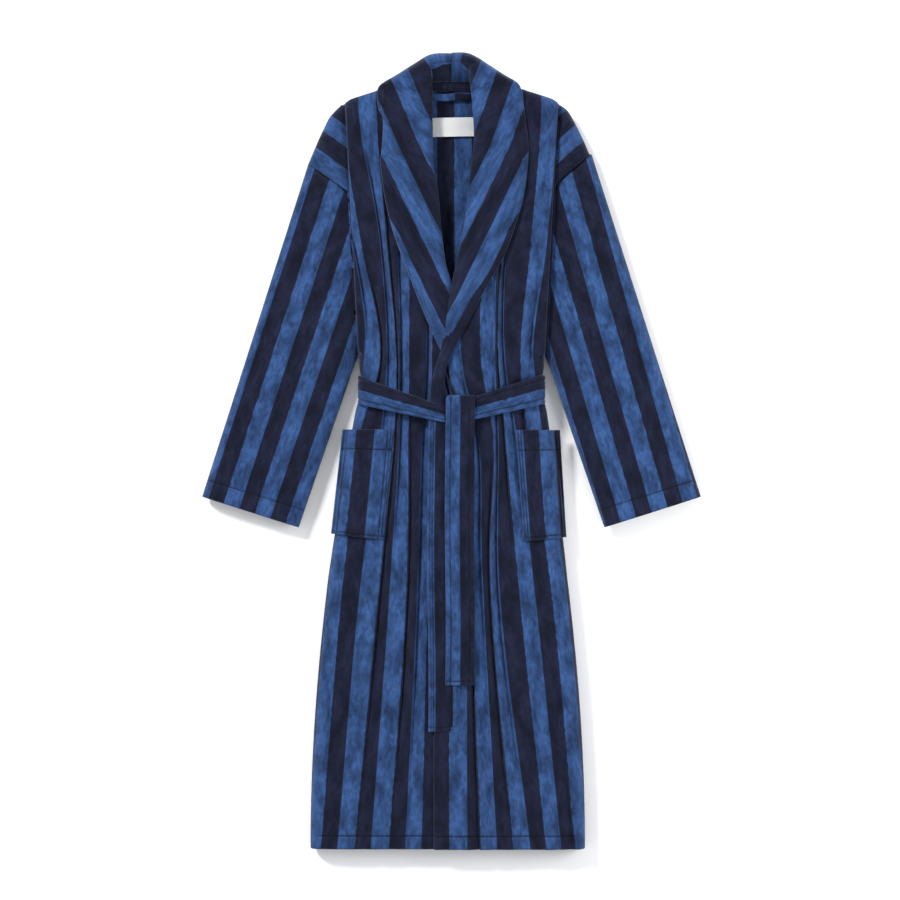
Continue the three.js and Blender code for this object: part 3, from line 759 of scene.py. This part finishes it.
for name, half in (("right", right_collar), ("left", left_collar)):
    last = len(half.outer) - 1
    upper = np.concatenate([np.linspace(0, 5.93, 60), [5.97, 5.99, 6.0]])
    lower = np.concatenate([[6.0, 6.01, 6.03], np.linspace(6.07, last, 12 * (last - LAPEL_FROM))])
    collar = lay_cloth(f"{name}_collar_cloth", collar_across, upper, half.lie, flip=half.side > 0)
    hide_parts(f"{name}_collar")
    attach(collar, "robe_body")
    length, width, cut_area = half.cut(0, LAPEL_FROM, NECK_TURNED)
    lapel = lay_cloth(f"{name}_lapel_cloth", collar_across, lower, half.lie, flip=half.side > 0)
    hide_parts(f"{name}_lapel")
    blend_at_fold(lapel)
    length, width, cut_area = half.cut(LAPEL_FROM, last, LAPEL_TURNED)

# The front facings: a strip of thin velour, 58 mm wide, sewn behind each free front edge from the
# lapel down to the hem. They show only when the fronts are opened.
FACING = 0.058
FRONT_LIES = {"right": 0.205, "left": 0.235}


def facing_lie(drape):
    def lie(share, y):
        x, y_out, z, u, v, seam = drape.lie(share, y)
        return x, y_out, z - 0.0046, u, v

    return lie


for name, drape in (("right", right_drape), ("left", left_drape)):
    facing_shares = np.linspace(0.004, FACING / FRONT_LIES[name], 26)
    facing_along = np.linspace(HEM_Y + 0.004, 0.114, 120)
    facing = lay_cloth(f"{name}_facing_cloth", facing_shares, facing_along, facing_lie(drape),
                       thickness=0.002, flip=drape.side < 0)
    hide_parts(f"{name}_facing")
    blend_at_fold(facing)

# The patch pockets: velour with a 32 mm turned-over top, topstitched down both sides and along the
# bottom. They lean outwards with the fronts.
POCKET_WIDTH = 0.078
POCKET_HEIGHT = 0.172
POCKET_BAND = 0.032


class Pocket:
    def __init__(self, side, drape, corners, first_u):
        self.side = side
        self.drape = drape
        self.corners = np.array(corners) / 1000.0
        self.first_u = first_u

    def lie(self, a, b):
        # a runs from the inner edge outwards, b from the bottom to the top.
        inner_low, outer_low, outer_high, inner_high = self.corners
        low = inner_low + (outer_low - inner_low) * a[:, None]
        high = inner_high + (outer_high - inner_high) * a[:, None]
        place = low + (high - low) * b[:, None]
        out = place[:, 0]
        y = place[:, 1]
        from_inner = a * POCKET_WIDTH
        from_outer = (1 - a) * POCKET_WIDTH
        from_low = b * POCKET_HEIGHT
        from_top = (1 - b) * POCKET_HEIGHT
        radius = self.drape.radius
        over = np.clip(out - (self.drape.side_line(y) - radius), 0, None)
        wide = radius + 0.009
        body = radius + np.sqrt(np.clip(wide**2 - np.minimum(over, wide * 0.93) ** 2, 0, None)) - 0.009
        puff = np.sin(a * math.pi) ** 0.6 * clamp(from_low / 0.03) ** 0.5
        z = body + 0.0042 + 0.0032 * puff * (0.4 + 0.6 * b)
        z = z + 0.0030 * soft_noise(out, y * 0.5, 61 + self.side, 0.03) * puff
        z = z + edge_roll(from_inner, 0.003, 0.004) + edge_roll(from_outer, 0.003, 0.004)
        z = z + edge_roll(from_low, 0.003, 0.004) + edge_roll(from_top, 0.002, 0.004)
        seam = stitch_row(from_low - 0.005) + stitch_row(from_top - POCKET_BAND)
        for stitch in (0.0035, 0.0085):
            seam = seam + stitch_row(from_inner - stitch) + stitch_row(from_outer - stitch)
        seam = np.minimum(seam, 1)
        z = z - STITCH_DEPTH * seam
        return self.side * out, y, z, from_inner + self.first_u, y, seam


right_pocket = Pocket(-1, right_drape, [(106.2, -139.1), (190, -129), (172, 34.8), (90.5, 35)], -0.0010)
left_pocket = Pocket(1, left_drape, [(113.3, -140.7), (181, -134.4), (170.8, 34), (100.7, 34)], 0.0154)
side_seams = [0.0035, 0.0085, POCKET_WIDTH - 0.0085, POCKET_WIDTH - 0.0035]
pocket_across = stations(0, POCKET_WIDTH, 0.003, seams=side_seams) / POCKET_WIDTH
pocket_along = stations(0, POCKET_HEIGHT, 0.004, seams=[0.005, POCKET_HEIGHT - POCKET_BAND]) / POCKET_HEIGHT
for name, patch in (("right", right_pocket), ("left", left_pocket)):
    pocket = lay_cloth(f"{name}_pocket_cloth", np.unique(pocket_across), np.unique(pocket_along), patch.lie,
                       flip=patch.side < 0)
    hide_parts(f"{name}_pocket")
    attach(pocket, "robe_body")

# The neck tape, the hanger loop and the label, inside the back of the neck. The tape is plain navy
# velour over the neck seam, the loop a narrow rolled strip, and the label plain white satin.


TAPE_HALF = 0.032


def lie_tape(x, y):
    z = 0.0182 + edge_roll(x + TAPE_HALF, 0.001, 0.002) + edge_roll(TAPE_HALF - x, 0.001, 0.002)
    seam = stitch_row(y - 0.5715) + stitch_row(y - 0.5835)
    return x, y, z - 0.0008 * seam, x, y, seam


tape = lay_cloth("neck_tape", np.linspace(-TAPE_HALF, TAPE_HALF, 40), stations(0.5695, 0.5855, 0.0012),
                 lie_tape, thickness=0.0022, material=navy_velour)
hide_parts("back_neck_tape")
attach(tape, "robe_body")


def lie_loop(x, c):
    turn = 2 * math.pi * c
    at_end = clamp((np.abs(x) - 0.024) / 0.008)
    middle_y = 0.5590 + 0.0055 * at_end**2 + 0.0008 * np.sin(x * 160)
    y = middle_y + 0.0058 * np.cos(turn) * (1 - 0.35 * at_end)
    z = 0.0195 + 0.0020 * np.sin(turn) * (1 - 0.2 * at_end) + 0.0007 * np.cos(x * 90)
    return x, y, z, (0.0055 - x) * 0.7, 0.5 + 0.006 * np.cos(turn)


loop = lay_cloth("hanger_loop_cloth", np.linspace(-TAPE_HALF, TAPE_HALF, 48), np.linspace(0, 1, 25),
                 lie_loop, thickness=0.0006, closed=True, flip=True)
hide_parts("hanger_loop")
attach(loop, "hanger_loop")

satin = bpy.data.materials.new("label_satin")
satin.use_nodes = True
satin_nodes = satin.node_tree.nodes
satin_surface = satin_nodes["Principled BSDF"]
set_inputs(satin_surface, {"Roughness": 0.38, "Sheen Weight": 0.3, "Anisotropic": 0.5})
weave_map = satin_nodes.new("ShaderNodeUVMap")
weave_map.uv_map = "cloth"
weave = satin_nodes.new("ShaderNodeTexWave")
weave.bands_direction = "Y"
set_inputs(weave, {"Scale": 900.0, "Distortion": 1.5})
weave_colour = satin_nodes.new("ShaderNodeMapRange")
set_inputs(weave_colour, {"To Min": 0.52, "To Max": 0.66})
weave_bump = satin_nodes.new("ShaderNodeBump")
set_inputs(weave_bump, {"Distance": 0.0001})
satin_colour = satin_nodes.new("ShaderNodeCombineColor")
satin_links = satin.node_tree.links
satin_links.new(weave_map.outputs["UV"], weave.inputs["Vector"])
satin_links.new(weave.outputs["Fac"], weave_colour.inputs["Value"])
for channel in ("Red", "Green", "Blue"):
    satin_links.new(weave_colour.outputs["Result"], satin_colour.inputs[channel])
satin_links.new(satin_colour.outputs["Color"], satin_surface.inputs["Base Color"])
satin_links.new(weave.outputs["Fac"], weave_bump.inputs["Height"])
satin_links.new(weave_bump.outputs["Normal"], satin_surface.inputs["Normal"])


def lie_label(x, y):
    tilt = math.radians(1.0)
    z = 0.0182 + 0.0012 * np.sin((x + 0.0325) * 48) + 0.0005 * np.sin(y * 210)
    z = z - 0.0003 * (stitch_row(np.abs(x) - 0.0305) + stitch_row(np.abs(y) - 0.0130))
    turned_x = 0.0027 + x * math.cos(tilt) - y * math.sin(tilt)
    turned_y = 0.512 + y * math.cos(tilt) + x * math.sin(tilt)
    return turned_x, turned_y, z, x, y


label = lay_cloth("label_cloth", stations(-0.0325, 0.0325, 0.002, seams=[-0.0295, 0.0295]),
                  stations(-0.015, 0.015, 0.0015), lie_label, thickness=0.0007, material=satin)
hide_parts("neck_label")
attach(label, "robe_body")

# The belt: a strip of velour folded double and topstitched 8 mm in from its edges, 45 mm wide. It
# passes under the back through its two loops, comes round both sides and is tied in front.
BELT_HALF = 0.0225
BELT_THICK = 0.0038
BELT_STITCH = 0.0080
BELT_SIDE = 0.252


def strap_face(distance_from_top, width):
    # The soft rounding of a doubled strap and its two sunk rows of stitching.
    lower = width - distance_from_top
    face = edge_roll(distance_from_top, 0.0018, 0.004) + edge_roll(lower, 0.0018, 0.004)
    seam = stitch_row(distance_from_top - BELT_STITCH) + stitch_row(lower - BELT_STITCH)
    return face - 0.0014 * seam, seam


def strap_stations(half):
    places = stations(0, 2 * half, 0.0025, seams=[BELT_STITCH, 2 * half - BELT_STITCH])
    return np.unique(np.round(places / (2 * half), 6))


strap_across = strap_stations(BELT_HALF)


class BeltHalf:
    def __init__(self, side, end_out, top_line, low_line, face_z, rise):
        self.side = side
        self.rise = rise
        self.end_out = end_out
        self.top_line = top_line
        self.low_line = low_line
        self.face_z = face_z

    def lie(self, t, a):
        # t runs along the belt in metres, from under the back, round the side, to the knot.
        path_t = np.array([0, 0.030, 0.040, 0.060, 0.080, 0.091, 0.103, BELT_SIDE])
        end = self.face_z
        path_x = np.array([0.112, 0.138, 0.1455, 0.1475, 0.1472, 0.1435, 0.1335, self.end_out])
        low_z = [0.0026, 0.0026, 0.0075, 0.0250]
        path_z = np.array(low_z + [end - 0.012, end - 0.0035, end, end + self.rise])
        x = np.interp(t, path_t, path_x)
        z = np.interp(t, path_t, path_z)
        for shift in (-0.004, 0.004):
            x = x + np.interp(t + shift, path_t, path_x)
            z = z + np.interp(t + shift, path_t, path_z)
        x = x / 3
        z = z / 3
        on_front = eased(clamp((t - 0.070) / 0.030))
        top_y = (WAIST_Y + BELT_HALF) * (1 - on_front) + np.interp(x, *self.top_line) * on_front
        low_y = (WAIST_Y - BELT_HALF) * (1 - on_front) + np.interp(x, *self.low_line) * on_front
        y = top_y + (low_y - top_y) * a
        face, seam = strap_face(a * 2 * BELT_HALF, 2 * BELT_HALF)
        wave = 0.0030 * soft_noise(x, y * 0.4, 71 + self.side, 0.03) * on_front
        out_x = clamp((0.150 - x) / 0.03)
        z_out = z + (face + wave) * out_x * np.where(t > 0.06, 1, -1)
        leaning_in = 0.004 * (1 - a) * on_front * clamp((x - 0.125) / 0.02)
        x_out = x + face * (1 - out_x) - leaning_in
        return self.side * x_out, y, z_out, (a - 0.5) * 2 * BELT_HALF + 0.0006, t, seam


right_belt = BeltHalf(
    -1, 0.0095, ([0.0118, 0.1382, 0.1475], [0.0707, 0.1152, 0.1175]),
    ([0.0105, 0.1472], [0.0453, 0.0743]), 0.0478, 0.0045)
left_belt = BeltHalf(
    1, 0.0300, ([0.036, 0.1445], [0.0863, 0.1212]), ([0.036, 0.1494], [0.0502, 0.0754]), 0.0518, 0.0)
for name, half in (("right", right_belt), ("left", left_belt)):
    along_belt = np.linspace(0, BELT_SIDE, 100)
    belt = lay_cloth(f"{name}_belt_cloth", along_belt, strap_across, half.lie, thickness=BELT_THICK,
                     flip=half.side < 0)
    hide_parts(f"belt_{name}_side", f"belt_{name}_front")
    blend_at_fold(belt)


def lie_belt_back(x, a):
    y = WAIST_Y + BELT_HALF - 2 * BELT_HALF * a
    face, seam = strap_face(a * 2 * BELT_HALF, 2 * BELT_HALF)
    return x, y, 0.0028 - face, (a - 0.5) * 2 * BELT_HALF, x, seam


belt_back = lay_cloth("belt_back_cloth", np.linspace(-0.118, 0.118, 60), strap_across, lie_belt_back,
                      thickness=BELT_THICK)
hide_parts("belt_back")
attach(belt_back, "robe_body")

# The knot: the upper end of the belt comes up behind, rolls over the crossing and goes down as the
# front tail, so the front tail bends from the knot. The back tail hangs from under the crossing.
KNOT_TOP = 0.0885
KNOT_BACK = 0.022
KNOT_ROLL = 0.0040
TAIL_X = 0.0130
TAIL_HALF = 0.0228
TAIL_LENGTH = 0.451
TAIL_STITCH = 0.0065


def lie_front_tail(a, t):
    # t runs in metres from the hidden end, up behind the roll, over it and down to the tail's end.
    turn = np.clip((t - KNOT_BACK) / KNOT_ROLL, 0, math.pi)
    down = np.clip(t - KNOT_BACK - math.pi * KNOT_ROLL, 0, None)
    corner = 0.007 * (1 - np.sqrt(1 - clamp(1 - a * 2 * TAIL_HALF / 0.007) ** 2))
    y = KNOT_TOP - KNOT_ROLL - KNOT_BACK + np.clip(t, 0, KNOT_BACK) + KNOT_ROLL * np.sin(turn) - down
    y = y - corner * clamp(1 - down / 0.006)
    top = 0.0578 - 0.0062 * (1 - np.cos(clamp((down - 0.030) / 0.050) * math.pi)) / 2
    z = top - KNOT_ROLL * (1 + np.cos(turn))
    x = TAIL_X + (a - 0.5) * 2 * TAIL_HALF + 0.0008 * np.sin(y * 17)
    past_roll = clamp((turn - 1.2) / 1.5)
    face, seam = strap_face(a * 2 * TAIL_HALF, 2 * TAIL_HALF)
    z = z + face * past_roll
    z = z + 0.0035 * soft_noise(x * 0.7, y * 0.3, 81, 0.03) * past_roll * clamp(down / 0.05)
    to_end = TAIL_LENGTH - down
    seam = np.maximum(seam, stitch_row(to_end - TAIL_STITCH))
    z = z + edge_roll(to_end, 0.0016, 0.003) - 0.0014 * stitch_row(to_end - TAIL_STITCH)
    return x, y, z, a * 2 * TAIL_HALF + 0.0043, t, seam


tail_across = strap_stations(TAIL_HALF)
tail_end = KNOT_BACK + math.pi * KNOT_ROLL + TAIL_LENGTH - 0.0005
tail_along = np.concatenate([
    np.linspace(0, KNOT_BACK, 8),
    np.linspace(0.0235, 0.046, 16),
    stations(0.048, tail_end, 0.004, seams=[tail_end - TAIL_STITCH]),
])
front_tail = lay_cloth("front_tail_cloth", tail_across, tail_along, lie_front_tail,
                       thickness=BELT_THICK, flip=True)
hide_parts("belt_front_tail")
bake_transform(front_tail)


def lie_knot(c, t):
    # A flat roll of the belt round the crossing, under the strap that covers it.
    turn = 2 * math.pi * c
    y = 0.0655 + 0.0195 * np.sign(np.cos(turn)) * np.abs(np.cos(turn)) ** 0.6
    z = 0.0528 + 0.0027 * np.sign(np.sin(turn)) * np.abs(np.sin(turn)) ** 0.7
    x = TAIL_X + t * 0.0205
    return x, y, z, y - 0.0655, x


knot = lay_cloth("knot_cloth", np.linspace(0, 1, 49), np.linspace(-1, 1, 21), lie_knot, thickness=0.0012,
                 closed=True, flip=True)
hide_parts("belt_knot")
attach(knot, "left_front_flap")


BACK_TAIL_WIDTH = 0.0444
BACK_TAIL_LENGTH = 0.5015


def lie_back_tail(a, t):
    # t is the distance down from the hidden upper end.
    y = 0.062 - t
    x = -0.0150 + (a - 0.5) * BACK_TAIL_WIDTH + 0.0012 * np.sin(y * 14 + 0.5)
    face, seam = strap_face(a * BACK_TAIL_WIDTH, BACK_TAIL_WIDTH)
    # A further row 4 mm in from one edge is marked for the painted stitch shade only; the face is not sunk
    # there.
    seam = seam + stitch_row(a * BACK_TAIL_WIDTH - 0.0040)
    z = 0.0480 + face
    z = z + 0.0025 * soft_noise(x * 0.7, y * 0.3, 83, 0.03) * clamp(t / 0.05)
    z = z - 0.0028 * clamp((t - 0.42) / 0.08)
    to_end = BACK_TAIL_LENGTH - t
    seam = np.maximum(seam, stitch_row(to_end - TAIL_STITCH))
    z = z + edge_roll(to_end, 0.0016, 0.003) - 0.0014 * stitch_row(to_end - TAIL_STITCH)
    return x, y, z, a * BACK_TAIL_WIDTH + 0.0164, t, seam


back_tail_along = stations(0, BACK_TAIL_LENGTH, 0.004, seams=[0.495])
back_tail = lay_cloth("back_tail_cloth", tail_across, back_tail_along, lie_back_tail,
                      thickness=0.0035, flip=True)
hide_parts("belt_back_tail")
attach(back_tail, "back_tail")

# The belt loops: a narrow strip at each side seam, sewn above and below the belt, which holds it.


def loop_lie(side):
    def lie(a, t):
        path_t = np.array([0, 0.008, 0.012, 0.060, 0.064, 0.072])
        y = np.interp(t, path_t, [0.1245, 0.1245, 0.1225, 0.0715, 0.0695, 0.0695])
        z = np.interp(t, path_t, [0.0085, 0.0020, 0.0004, 0.0004, 0.0020, 0.0085])
        x = 0.044 * side + (a - 0.5) * 0.011
        return x, y, z, x * 0.5 - 0.010, t

    return lie


for name, side in (("right", -1), ("left", 1)):
    belt_loop = lay_cloth(f"{name}_belt_loop_cloth", np.linspace(0, 1, 9),
                          np.linspace(0, 0.072, 37), loop_lie(side), thickness=0.0014)
    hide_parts(f"{name}_belt_loop")
    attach(belt_loop, "robe_body")
